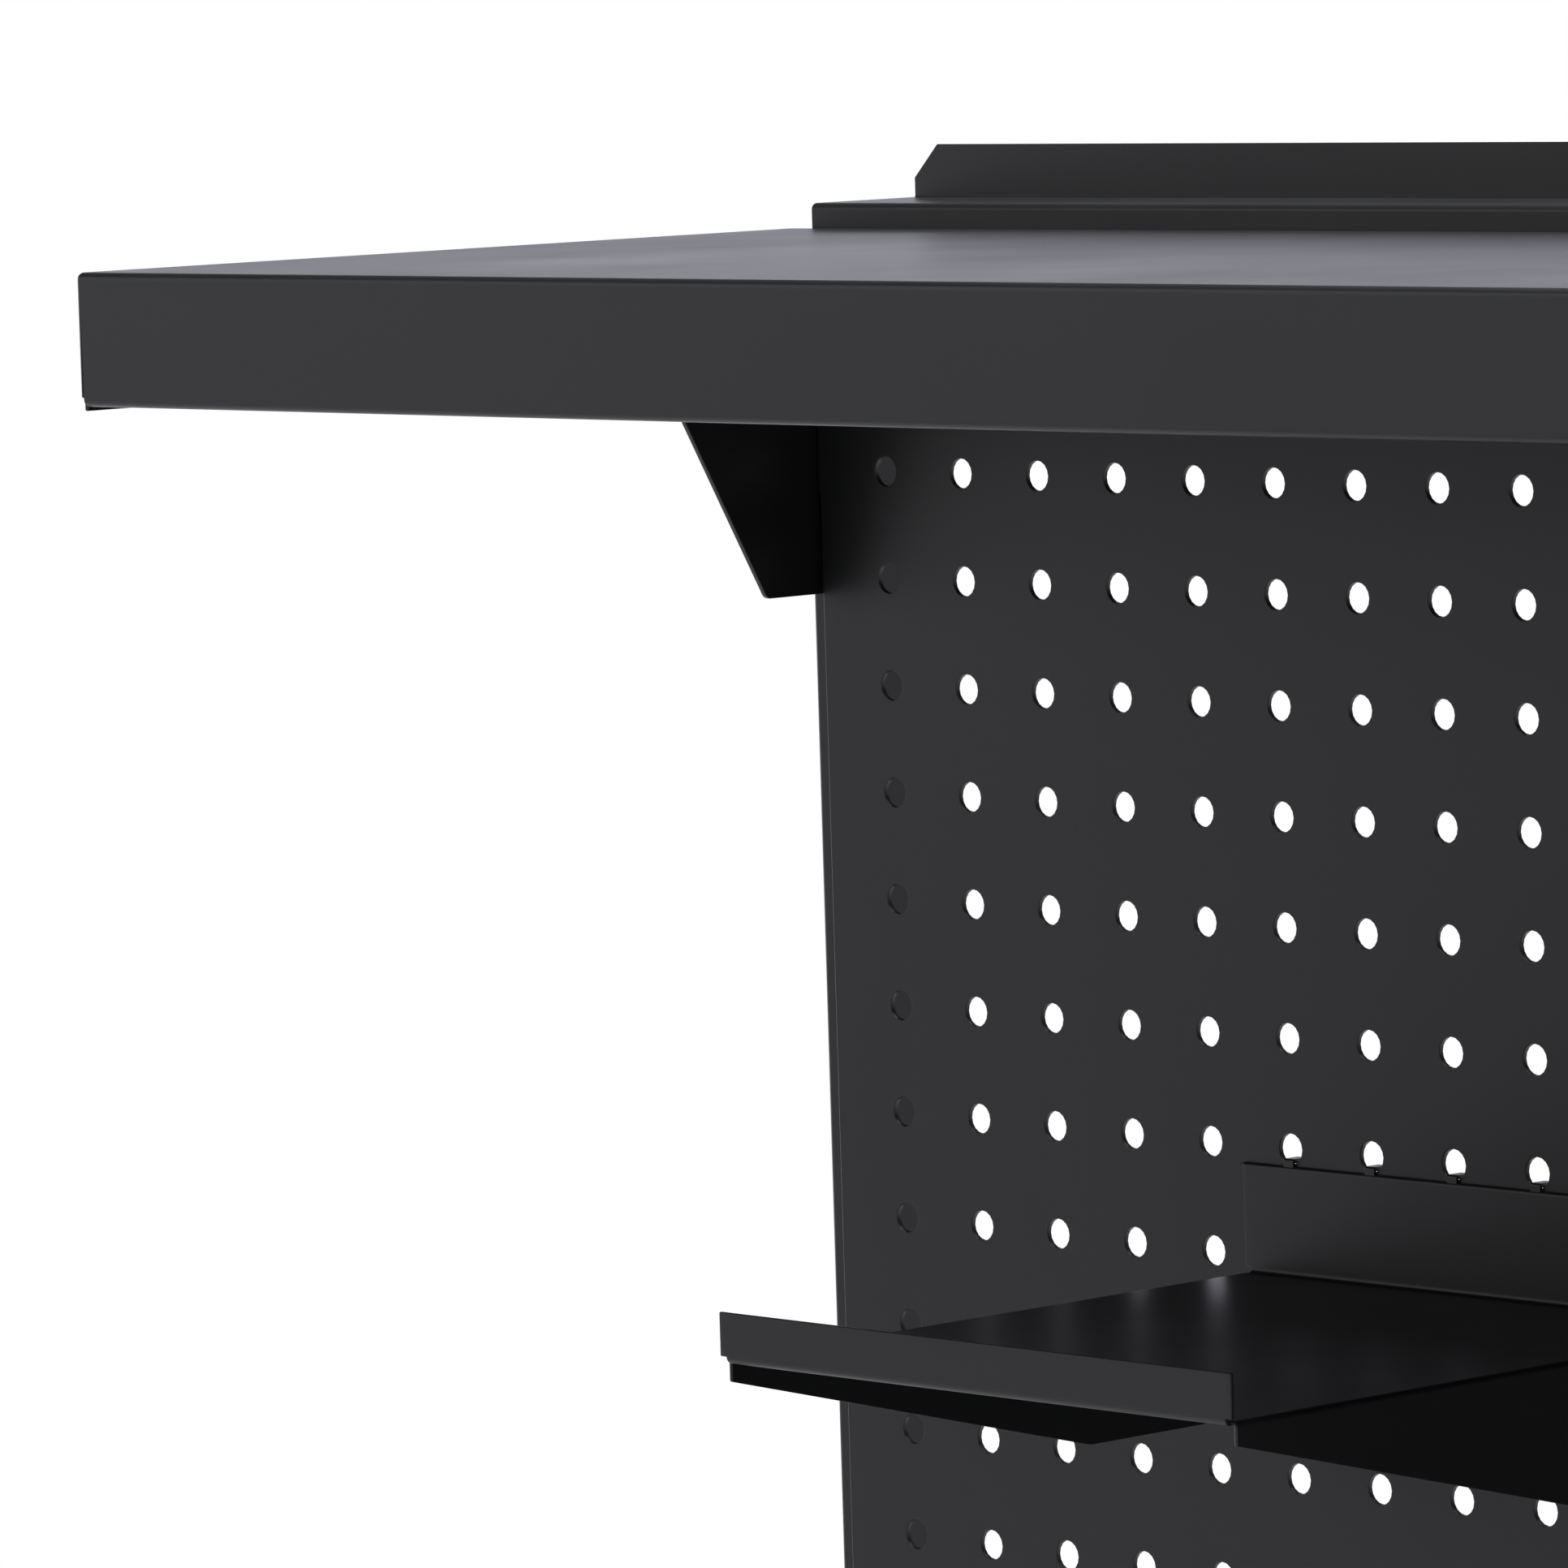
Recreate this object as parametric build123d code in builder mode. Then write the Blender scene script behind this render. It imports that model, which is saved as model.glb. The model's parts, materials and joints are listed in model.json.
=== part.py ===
"""Low gondola shelving unit: a pegboard back between two uprights, a deep top shelf on
hook-in brackets, a small hang-on tray and a base deck on levelling feet. Millimetres.

X runs along the width, Y from front to back and Z up. The origin is on the floor under
the middle of the unit.
"""
import os

from build123d import *

# ---- pegboard grid ---------------------------------------------------------------
PEG_PITCH = 25.4
PEG_HOLE = 7.1
COLUMNS = 46
ROWS = 24
SIDE_MARGIN = 22.8        # outermost column of holes to the panel's edge
PANEL_T = 1.2

# ---- overall size ------------------------------------------------------------------
HEIGHT = 762.0
BASE_DEPTH = 300.0        # front of the base deck to the face of the pegboard
RAIL_DEPTH = 35.5         # face of the pegboard to the back of the top rail
UPRIGHT_REVEAL = 4.9      # strip of upright left bare beside the panel
SHELF_OVERHANG = 1.7      # shelf end beyond the upright's outer face

PANEL_W = (COLUMNS - 1) * PEG_PITCH + 2 * SIDE_MARGIN
UNIT_W = PANEL_W + 2 * UPRIGHT_REVEAL
SHELF_W = UNIT_W + 2 * SHELF_OVERHANG
BOARD_Y = (BASE_DEPTH - RAIL_DEPTH) / 2      # front face of the pegboard
UPRIGHT_FRONT = BOARD_Y + PANEL_T

# ---- folded sheet --------------------------------------------------------------------
SHEET = 1.2
BEND = 1.6                # outside radius of a fold
HEAVY_SHEET = 2.0         # legs and back brace
HEAVY_BEND = 2.5
CLEAR = 0.3               # gap between pieces that part from each other
FIT = 0.1                 # gap between pieces that rest or hook on each other

# ---- top rail ------------------------------------------------------------------------
UPSTAND = 12.6
RAIL_TOP = HEIGHT - UPSTAND
RAIL_CHAMFER = 8.0
TOP_ROW_DROP = 37.9       # rail's top to the first row of holes
TOP_ROW = RAIL_TOP - TOP_ROW_DROP
PANEL_TOP = TOP_ROW + PEG_PITCH / 2
PANEL_H = ROWS * PEG_PITCH
PANEL_BOTTOM = PANEL_TOP - PANEL_H
RIB_W = 16.0              # channel behind the middle of the pegboard
RIB_D = 15.0
RIB_END = 2.0             # panel's edge to the rib's end

# ---- uprights ------------------------------------------------------------------------
UPRIGHT_W = 20.0
UPRIGHT_D = 25.0
UPRIGHT_WALL = 1.5
UPRIGHT_CORNER = 1.5
UPRIGHT_X = (UNIT_W - UPRIGHT_W) / 2         # centre line of the right upright
UPRIGHT_BACK = UPRIGHT_FRONT + UPRIGHT_D
UPRIGHT_MID_Y = UPRIGHT_FRONT + UPRIGHT_D / 2
FRAME_BOTTOM = 16.0       # underside of the legs and uprights
UPRIGHT_TOP = 740.8
CAP_T = 1.5
CAP_PLUG = 6.0
CAP_PLUG_WALL = 2.25

# ---- shelf brackets ------------------------------------------------------------------
BRACKET_T = 1.5
BRACKET_X = UNIT_W / 2 - 3.0                 # centre plane of the right bracket
BRACKET_BOTTOM = 656.3
BRACKET_HEEL = 16.9       # level bottom edge, from the board forward
BRACKET_KNEE_Z = 718.0
BRACKET_STEEPNESS = 1.75  # rise over run of the sloping edge
BRACKET_REACH = 205.0
BRACKET_TIP_Z = 728.0
BRACKET_CORNER = 4.0
BRACKET_HEEL_CORNER = 2.0
HOOK_NECK = 8.0
HOOK_DROP = 7.0
HOOK_LEG = 2.6
HOOK_LIFT = 7.2           # lift that frees the hooks
HOOK_BOTTOMS = (664.0, 714.0)                # where each hook sits in its slot
SLOT_W = 2.1
SLOT_SPARE = 0.8          # slot left above the raised hook
SLOT_H = HOOK_NECK + HOOK_LIFT + SLOT_SPARE

# ---- shelves -------------------------------------------------------------------------
SHELF_TOP = 743.5
SHELF_DEPTH = 220.4
LIP = 30.0                # front lip, top surface to its underside
LIP_RETURN = 12.0
SIDE_FLANGE = 31.0
REAR_FLANGE = 20.0
REAR_FLANGE_HALF = UNIT_W / 2 - 21.0          # stops short of brackets and legs
RELIEF_X = 1.7            # corner relief at the ends of the front lip
RELIEF_Z = 2.0
LEG_TOP = PANEL_BOTTOM - 2 * FIT
DECK_TOP = LEG_TOP + SHEET
DECK_GAP = 3.0            # clears the screw heads on the pegboard as the deck lifts off
STIFFENER_W = 60.0
STIFFENER_D = 15.0
STIFFENER_FLANGE = 12.0
STIFFENER_END = 2.0       # stiffener's end to the bracket or leg beside it

# ---- base legs -----------------------------------------------------------------------
LEG_W = UPRIGHT_W
LEG_SETBACK = 16.0        # front of the leg behind the deck's lip
LEG_FRONT = BOARD_Y - BASE_DEPTH + LEG_SETBACK
LEG_PLATE = 4.0
BOLT_HEIGHTS = (52.0, 88.0)

# ---- back brace ----------------------------------------------------------------------
BRACE_H = 72.0
BRACE_Z = 70.0
BRACE_FLANGE = 7.0
BRACE_FACE = UPRIGHT_BACK + HEAVY_SHEET

# ---- kick plate ----------------------------------------------------------------------
KICK_BOTTOM = 18.0
KICK_DROP = 2.0           # underside of the deck's lip to the plate's top
KICK_TOP = DECK_TOP - LIP - KICK_DROP
KICK_RETURN = 14.0
KICK_GAP = 1.0            # end of the return flanges to the legs

# ---- fasteners -----------------------------------------------------------------------
M8_R = 4.0
M8_HOLE = 4.5
M8_AF = 13.0
M8_HEAD = 5.3
M8_NUT = 6.5
BOLT_LENGTH = 42.0
SCREW_R = 2.0
SCREW_HOLE = 2.3
SCREW_PILOT = 2.05
SCREW_HEAD_R = 4.0
SCREW_HEAD = 2.4
SCREW_DOME = 1.4
RECESS_L = 4.0            # cross recess in the head
RECESS_W = 0.8
RECESS_D = 1.2
SCREW_LENGTH = 10.0
PANEL_SCREW_HEIGHTS = (PANEL_TOP - 6.4, 345.0, PANEL_BOTTOM + 8.0)
RAIL_SCREW_Z = 732.0
KICK_SCREW_HEIGHTS = (34.0, 68.0)

# ---- levelling feet ------------------------------------------------------------------
PAD_R = 11.0
PAD_T = 5.0
PAD_FLOOR = 2.0           # pad material left under the stud
PAD_EDGE = 1.5
STUD_TIP = 0.8
FOOT_HEX = 4.0
STUD_TOP = 42.0
LOCK_NUT = 4.0
BUSH_H = 15.0
STUD_CLEAR = 0.06
FRONT_FOOT_Y = LEG_FRONT + 22.0
FOOT_PLACES = {
    "front_left_foot": (-UPRIGHT_X, FRONT_FOOT_Y),
    "front_right_foot": (UPRIGHT_X, FRONT_FOOT_Y),
    "back_left_foot": (-UPRIGHT_X, UPRIGHT_MID_Y),
    "back_right_foot": (UPRIGHT_X, UPRIGHT_MID_Y),
}

# ---- hang-on tray --------------------------------------------------------------------
TRAY_W = 155.6
TRAY_DEPTH = 166.0
TRAY_SHEET = 1.0
TRAY_HOOK_BEND = 1.3
TRAY_HOOK_LAP = 2.0       # hook's root down the back of the flange
TRAY_COLUMNS = range(5, 11)
TRAY_ROW = 7
TRAY_DROP = 29.2          # hole centres down to the tray's surface
TRAY_LIP = 10.4
TRAY_FLANGE = 25.3
GUSSET_INSET = 0.5
GUSSET_START = 2.1
GUSSET_FRONT = 5.2
GUSSET_DEPTH = 33.3
GUSSET_LEVEL = 54.0       # level part of the gusset's lower edge, from the board
TRAY_HOOK_W = 3.0
TRAY_HOOK_TOP = 2.2       # below the hole's centre
TRAY_HOOK_REACH = 4.4
TRAY_HOOK_H = 6.2

os.makedirs("parts", exist_ok=True)


def peg_x(column):
    """X of a column of peg holes, counted from the left."""
    return (column - (COLUMNS - 1) / 2) * PEG_PITCH


def peg_z(row):
    """Z of a row of peg holes, counted from the top."""
    return TOP_ROW - row * PEG_PITCH


def save(piece, name):
    """Label a finished piece and write it as one STEP file."""
    piece.label = name
    export_step(piece, f"parts/{name}.step")


def folded_section(points, thickness, radius=BEND, side=Side.LEFT):
    """Closed YZ section of a sheet folded along the points, which are its outer face."""
    with BuildSketch(Plane.YZ) as section:
        with BuildLine():
            FilletPolyline(*points, radius=radius)
            offset(amount=thickness, side=side)
        make_face()
    return section.sketch


# ---- pegboard ------------------------------------------------------------------------
with BuildPart() as peg_panel:
    with BuildSketch(Plane.XZ.offset(-BOARD_Y)):
        with Locations((0, PANEL_BOTTOM + PANEL_H / 2)):
            Rectangle(PANEL_W, PANEL_H)
        with Locations((0, (peg_z(0) + peg_z(ROWS - 1)) / 2)):
            with GridLocations(PEG_PITCH, PEG_PITCH, COLUMNS, ROWS):
                Circle(PEG_HOLE / 2, mode=Mode.SUBTRACT)
        with Locations(*[(x, z) for x in (-UPRIGHT_X, UPRIGHT_X) for z in PANEL_SCREW_HEIGHTS]):
            Circle(SCREW_HOLE, mode=Mode.SUBTRACT)
    extrude(amount=-PANEL_T)
save(peg_panel.part, "peg_panel")

# channel that keeps the middle of the pegboard flat, between two columns of holes
with BuildPart() as panel_stiffener:
    with BuildSketch(Plane.XY.offset(PANEL_BOTTOM + RIB_END)):
        with Locations((0, UPRIGHT_FRONT + RIB_D / 2)):
            Rectangle(RIB_W, RIB_D)
        with Locations((0, UPRIGHT_FRONT + RIB_D / 2 + SHEET)):
            Rectangle(RIB_W - 2 * SHEET, RIB_D, mode=Mode.SUBTRACT)
    extrude(amount=PANEL_H - 2 * RIB_END)
save(panel_stiffener.part, "panel_stiffener")

# ---- top rail ------------------------------------------------------------------------
rail_back = BOARD_Y + RAIL_DEPTH
rail_points = [
    (BOARD_Y, PANEL_TOP + CLEAR),
    (BOARD_Y, RAIL_TOP),
    (rail_back - SHEET, RAIL_TOP),
    (rail_back - SHEET, HEIGHT),
]
with BuildPart() as top_rail:
    with BuildSketch(Plane.YZ):
        with BuildLine():
            front_fold = FilletPolyline(*rail_points[:3], radius=BEND)
            back_fold = Line(rail_points[2], rail_points[3])
            top_edge = Line(back_fold @ 1, (rail_back, HEIGHT))
            back_face = Line(top_edge @ 1, (rail_back, RAIL_TOP - SHEET))
            inner = FilletPolyline(
                back_face @ 1,
                (BOARD_Y + SHEET, RAIL_TOP - SHEET),
                (BOARD_Y + SHEET, PANEL_TOP + CLEAR),
                radius=BEND - SHEET,
            )
            Line(inner @ 1, front_fold @ 0)
        make_face()
    extrude(amount=PANEL_W / 2, both=True)
    heel = top_rail.edges().filter_by(Axis.X).sort_by(lambda e: e.center().Z - e.center().Y)[0]
    fillet(heel, radius=BEND)
    upstand_ends = top_rail.edges().filter_by(Axis.Y).group_by(Axis.Z)[-1]
    chamfer(upstand_ends, length=RAIL_CHAMFER)
    with Locations(*[Plane((x, BOARD_Y, RAIL_SCREW_Z), x_dir=(1, 0, 0), z_dir=(0, -1, 0))
                     for x in (-UPRIGHT_X, UPRIGHT_X)]):
        Hole(SCREW_HOLE, depth=2 * SHEET)
save(top_rail.part, "top_rail")


# ---- uprights ------------------------------------------------------------------------
def upright(side):
    """Slotted tube; side is -1 for the left and 1 for the right."""
    with BuildPart() as tube:
        with BuildSketch(Plane.XY.offset(FRAME_BOTTOM)):
            with Locations((side * UPRIGHT_X, UPRIGHT_MID_Y)):
                RectangleRounded(UPRIGHT_W, UPRIGHT_D, UPRIGHT_CORNER)
                Rectangle(UPRIGHT_W - 2 * UPRIGHT_WALL, UPRIGHT_D - 2 * UPRIGHT_WALL,
                          mode=Mode.SUBTRACT)
        extrude(amount=UPRIGHT_TOP - FRAME_BOTTOM)
        with BuildSketch(Plane.XZ.offset(-UPRIGHT_FRONT)):
            with Locations(*[(side * BRACKET_X, z + SLOT_H / 2) for z in HOOK_BOTTOMS]):
                Rectangle(SLOT_W, SLOT_H)
            with Locations(*[(side * UPRIGHT_X, z) for z in (*PANEL_SCREW_HEIGHTS, RAIL_SCREW_Z)]):
                Circle(SCREW_PILOT)
        extrude(amount=-2 * UPRIGHT_WALL, mode=Mode.SUBTRACT)
        with BuildSketch(Plane.XZ.offset(-UPRIGHT_FRONT)):
            with Locations(*[(side * UPRIGHT_X, z) for z in BOLT_HEIGHTS]):
                Circle(M8_HOLE)
        extrude(amount=-UPRIGHT_D, mode=Mode.SUBTRACT)
    return tube.part


def upright_cap(side):
    """Plastic plug that closes the top of an upright."""
    plug_w = UPRIGHT_W - 2 * UPRIGHT_WALL
    plug_d = UPRIGHT_D - 2 * UPRIGHT_WALL
    with BuildPart() as cap:
        with BuildSketch(Plane.XY.offset(UPRIGHT_TOP)):
            with Locations((side * UPRIGHT_X, UPRIGHT_MID_Y)):
                RectangleRounded(UPRIGHT_W, UPRIGHT_D, UPRIGHT_CORNER)
        extrude(amount=CAP_T)
        fillet(cap.faces().sort_by(Axis.Z)[-1].edges(), radius=CAP_T / 2)
        with BuildSketch(Plane.XY.offset(UPRIGHT_TOP)):
            with Locations((side * UPRIGHT_X, UPRIGHT_MID_Y)):
                Rectangle(plug_w, plug_d)
                Rectangle(plug_w - 2 * CAP_PLUG_WALL, plug_d - 2 * CAP_PLUG_WALL,
                          mode=Mode.SUBTRACT)
        extrude(amount=-CAP_PLUG)
    return cap.part


for side_name, side in (("left", -1), ("right", 1)):
    save(upright(side), f"{side_name}_upright")
    save(upright_cap(side), f"{side_name}_upright_cap")


# ---- base legs -----------------------------------------------------------------------
def base_leg(side):
    """Folded channel, open towards the middle, with a bolting plate at each end."""
    outer = side * UNIT_W / 2
    inner = side * (UNIT_W / 2 - LEG_W)
    inside_h = LEG_TOP - FRAME_BOTTOM - 2 * HEAVY_SHEET
    middle_z = (LEG_TOP + FRAME_BOTTOM) / 2
    with BuildPart() as leg:
        with BuildSketch(Plane.XZ.offset(-UPRIGHT_FRONT)):
            with BuildLine():
                FilletPolyline((inner, FRAME_BOTTOM), (outer, FRAME_BOTTOM), (outer, LEG_TOP),
                               (inner, LEG_TOP), radius=HEAVY_BEND)
                offset(amount=HEAVY_SHEET, side=Side.LEFT if side > 0 else Side.RIGHT)
            make_face()
        extrude(amount=UPRIGHT_FRONT - LEG_FRONT)
        with BuildSketch(Plane.XZ.offset(-UPRIGHT_FRONT)):
            with Locations((side * UPRIGHT_X, middle_z)):
                Rectangle(LEG_W - 2 * HEAVY_SHEET, inside_h)
            with Locations(*[(side * UPRIGHT_X, z) for z in BOLT_HEIGHTS]):
                Circle(M8_HOLE, mode=Mode.SUBTRACT)
        extrude(amount=LEG_PLATE)
        with BuildSketch(Plane.XZ.offset(-LEG_FRONT)):
            with Locations((side * UPRIGHT_X, middle_z)):
                Rectangle(LEG_W - 2 * HEAVY_SHEET, inside_h)
            with Locations(*[(side * UPRIGHT_X, z) for z in KICK_SCREW_HEIGHTS]):
                Circle(SCREW_PILOT, mode=Mode.SUBTRACT)
        extrude(amount=-HEAVY_SHEET)
        with BuildSketch(Plane.XY.offset(FRAME_BOTTOM)):
            with Locations((side * UPRIGHT_X, FRONT_FOOT_Y)):
                Circle(M8_HOLE)
        extrude(amount=HEAVY_SHEET, mode=Mode.SUBTRACT)
    return leg.part


save(base_leg(-1), "left_base_leg")
save(base_leg(1), "right_base_leg")

# ---- back brace ----------------------------------------------------------------------
with BuildPart() as back_brace:
    with BuildSketch(Plane.YZ):
        with BuildLine():
            FilletPolyline(
                (BRACE_FACE + BRACE_FLANGE, BRACE_Z - BRACE_H / 2),
                (UPRIGHT_BACK, BRACE_Z - BRACE_H / 2),
                (UPRIGHT_BACK, BRACE_Z + BRACE_H / 2),
                (BRACE_FACE + BRACE_FLANGE, BRACE_Z + BRACE_H / 2),
                radius=HEAVY_BEND,
            )
            offset(amount=HEAVY_SHEET, side=Side.RIGHT)
        make_face()
    extrude(amount=UNIT_W / 2, both=True)
    with BuildSketch(Plane.XZ.offset(-UPRIGHT_BACK)):
        with Locations(*[(x, z) for x in (-UPRIGHT_X, UPRIGHT_X) for z in BOLT_HEIGHTS]):
            Circle(M8_HOLE)
    extrude(amount=-HEAVY_SHEET, mode=Mode.SUBTRACT)
save(back_brace.part, "back_brace")

# ---- kick plate ----------------------------------------------------------------------
with BuildPart() as kick_plate:
    with BuildSketch(Plane.YZ):
        with BuildLine():
            FilletPolyline(
                (LEG_FRONT + KICK_RETURN, KICK_BOTTOM),
                (LEG_FRONT - SHEET, KICK_BOTTOM),
                (LEG_FRONT - SHEET, KICK_TOP),
                (LEG_FRONT + KICK_RETURN, KICK_TOP),
                radius=BEND,
            )
            offset(amount=SHEET, side=Side.RIGHT)
        make_face()
    extrude(amount=UNIT_W / 2, both=True)
    with BuildSketch(Plane.XZ.offset(-LEG_FRONT)):
        with Locations(*[(x, (KICK_BOTTOM + KICK_TOP) / 2) for x in (-UPRIGHT_X, UPRIGHT_X)]):
            Rectangle(LEG_W + 2 * KICK_GAP, KICK_TOP - KICK_BOTTOM)
    extrude(amount=-KICK_RETURN, mode=Mode.SUBTRACT)
    with BuildSketch(Plane.XZ.offset(-LEG_FRONT)):
        with Locations(*[(x, z) for x in (-UPRIGHT_X, UPRIGHT_X) for z in KICK_SCREW_HEIGHTS]):
            Circle(SCREW_HOLE)
    extrude(amount=SHEET, mode=Mode.SUBTRACT)
save(kick_plate.part, "kick_plate")


# ---- shelves -------------------------------------------------------------------------
def shelf_pan(top, depth, rear_gap):
    """Sheet pan, open below: a front lip with a return, two side flanges, a rear flange."""
    front = BOARD_Y - depth
    rear = BOARD_Y - rear_gap
    half = SHELF_W / 2
    middle_y = (front + rear) / 2
    fold_top = LIP - RELIEF_Z
    with BuildPart() as pan:
        with BuildSketch(Plane.XY.offset(top)):
            with Locations((0, middle_y)):
                Rectangle(SHELF_W, rear - front)
        extrude(amount=-SIDE_FLANGE)
        fillet(pan.faces().sort_by(Axis.Z)[-1].edges(), radius=BEND)
        offset(amount=-SHEET, openings=pan.faces().sort_by(Axis.Z)[0])
        # the front lip and the rear flange are shorter than the side flanges
        with BuildSketch(Plane.YZ):
            with Locations((front, top - SIDE_FLANGE)):
                Rectangle(2 * BEND, 2 * (SIDE_FLANGE - fold_top))
            with Locations((rear, top - SIDE_FLANGE)):
                Rectangle(2 * BEND, 2 * (SIDE_FLANGE - REAR_FLANGE))
        extrude(amount=half - SHEET, both=True, mode=Mode.SUBTRACT)
        # the rear flange stops short of the brackets or legs that carry the shelf
        with BuildSketch(Plane.XZ.offset(-rear)):
            for end in (-1, 1):
                with Locations(((half - SHEET) * end, top - SIDE_FLANGE)):
                    Rectangle(half - SHEET - REAR_FLANGE_HALF, SIDE_FLANGE - SHEET,
                              align=(Align.MAX if end > 0 else Align.MIN, Align.MIN))
        extrude(amount=BEND, mode=Mode.SUBTRACT)
        # reliefs where the lip meets the side flanges
        with BuildSketch(Plane.XZ.offset(-front)):
            with Locations((-half, top - SIDE_FLANGE), (half, top - SIDE_FLANGE)):
                Rectangle(2 * RELIEF_X, 2 * (SIDE_FLANGE - LIP + RELIEF_Z))
        extrude(amount=-BEND, mode=Mode.SUBTRACT)
        # fold along the bottom of the lip, with its return
        lip_fold = folded_section(
            [(front, top - fold_top), (front, top - LIP), (front + LIP_RETURN, top - LIP)], SHEET)
        extrude(lip_fold, amount=half - RELIEF_X, both=True)
    return pan.part


def hat_stiffener(top, centre_y, half_length):
    """Hat channel welded under a shelf; top is the shelf's underside."""
    inside = STIFFENER_W / 2 - STIFFENER_FLANGE
    outline = [
        (centre_y - STIFFENER_W / 2, top),
        (centre_y - inside, top),
        (centre_y - inside, top - STIFFENER_D),
        (centre_y + inside, top - STIFFENER_D),
        (centre_y + inside, top),
        (centre_y + STIFFENER_W / 2, top),
    ]
    with BuildPart() as hat:
        section = folded_section(outline, SHEET, side=Side.RIGHT)
        extrude(section, amount=half_length, both=True)
    return hat.part


save(shelf_pan(SHELF_TOP, SHELF_DEPTH, CLEAR), "top_shelf_deck")
save(hat_stiffener(SHELF_TOP - SHEET, BOARD_Y - SHELF_DEPTH / 2,
                   BRACKET_X - BRACKET_T / 2 - STIFFENER_END), "top_shelf_stiffener")
save(shelf_pan(DECK_TOP, BASE_DEPTH, DECK_GAP), "base_deck")
save(hat_stiffener(DECK_TOP - SHEET, BOARD_Y - BASE_DEPTH / 2,
                   UNIT_W / 2 - LEG_W - STIFFENER_END), "base_deck_stiffener")


# ---- shelf brackets ------------------------------------------------------------------
def shelf_bracket(side):
    """Tapered plate with two hooks that drop into the upright's slots."""
    rear = UPRIGHT_FRONT - FIT
    seat = SHELF_TOP - SHEET
    hook_front = UPRIGHT_FRONT + UPRIGHT_WALL + 2 * FIT
    knee_run = (BRACKET_KNEE_Z - BRACKET_BOTTOM) / BRACKET_STEEPNESS
    with BuildPart() as bracket:
        with BuildSketch(Plane.YZ.offset(side * BRACKET_X)):
            with BuildLine():
                Polyline(
                    (rear, BRACKET_BOTTOM),
                    (BOARD_Y - BRACKET_HEEL, BRACKET_BOTTOM),
                    (BOARD_Y - BRACKET_HEEL - knee_run, BRACKET_KNEE_Z),
                    (BOARD_Y - BRACKET_REACH, BRACKET_TIP_Z),
                    (BOARD_Y - BRACKET_REACH, seat),
                    (rear, seat),
                    close=True,
                )
            outline = make_face()
            fillet(outline.vertices().sort_by(Axis.Y)[:2], radius=BRACKET_CORNER)
            heel = outline.vertices().group_by(Axis.Z)[0].sort_by(Axis.Y)[0]
            fillet(heel, radius=BRACKET_HEEL_CORNER)
            for z in HOOK_BOTTOMS:
                with Locations((rear, z)):
                    Rectangle(hook_front - rear + HOOK_LEG, HOOK_NECK,
                              align=(Align.MIN, Align.MIN))
                with Locations((hook_front, z + HOOK_NECK)):
                    Rectangle(HOOK_LEG, HOOK_NECK + HOOK_DROP, align=(Align.MIN, Align.MAX))
        extrude(amount=BRACKET_T / 2, both=True)
    return bracket.part


save(shelf_bracket(-1), "left_shelf_bracket")
save(shelf_bracket(1), "right_shelf_bracket")

# ---- hang-on tray --------------------------------------------------------------------
tray_x = (peg_x(TRAY_COLUMNS[0]) + peg_x(TRAY_COLUMNS[-1])) / 2
tray_hole_z = peg_z(TRAY_ROW)
tray_top = tray_hole_z - TRAY_DROP
tray_front = BOARD_Y - TRAY_DEPTH
tray_back = BOARD_Y - FIT
gusset_half = TRAY_W / 2 - GUSSET_INSET
hook_top = tray_hole_z - TRAY_HOOK_TOP
with BuildPart() as hang_tray:
    with BuildSketch(Plane.YZ.offset(tray_x)):
        with BuildLine():
            FilletPolyline(
                (tray_front, tray_top + TRAY_LIP),
                (tray_front, tray_top - TRAY_SHEET),
                (tray_back, tray_top - TRAY_SHEET),
                (tray_back, tray_top + TRAY_FLANGE),
                radius=BEND,
            )
            offset(amount=TRAY_SHEET, side=Side.LEFT)
        make_face()
    extrude(amount=TRAY_W / 2, both=True)
    # the surface is narrower than the lip, where its sides fold down into gussets
    with BuildSketch(Plane.XY.offset(tray_top)):
        for edge_side in (-1, 1):
            with Locations((tray_x + edge_side * TRAY_W / 2, tray_front)):
                Rectangle(2 * GUSSET_INSET, TRAY_DEPTH - BEND,
                          align=(Align.CENTER, Align.MIN))
            with Locations((tray_x + edge_side * TRAY_W / 2, tray_front)):
                Rectangle(2 * GUSSET_START, 2 * GUSSET_START)
    extrude(amount=TRAY_SHEET, both=True, mode=Mode.SUBTRACT)
    for edge_side in (-1, 1):
        with BuildSketch(Plane.YZ.offset(tray_x + edge_side * gusset_half)):
            with BuildLine():
                Polyline(
                    (tray_front + GUSSET_START, tray_top),
                    (tray_front + GUSSET_START, tray_top - GUSSET_FRONT),
                    (BOARD_Y - GUSSET_LEVEL, tray_top - GUSSET_DEPTH),
                    (tray_back, tray_top - GUSSET_DEPTH),
                    (tray_back, tray_top),
                    close=True,
                )
            make_face()
        extrude(amount=-edge_side * TRAY_SHEET)
    # hooks that pass through the holes and turn down behind the board
    for column in TRAY_COLUMNS:
        with BuildSketch(Plane.YZ.offset(peg_x(column))):
            with BuildLine():
                FilletPolyline(
                    (tray_back - TRAY_SHEET, tray_top + TRAY_FLANGE - TRAY_HOOK_LAP),
                    (tray_back - TRAY_SHEET, hook_top),
                    (BOARD_Y + TRAY_HOOK_REACH, hook_top),
                    (BOARD_Y + TRAY_HOOK_REACH, hook_top - TRAY_HOOK_H),
                    radius=TRAY_HOOK_BEND,
                )
                offset(amount=TRAY_SHEET, side=Side.RIGHT)
            make_face()
        extrude(amount=TRAY_HOOK_W / 2, both=True)
save(hang_tray.part, "hang_tray")

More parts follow.
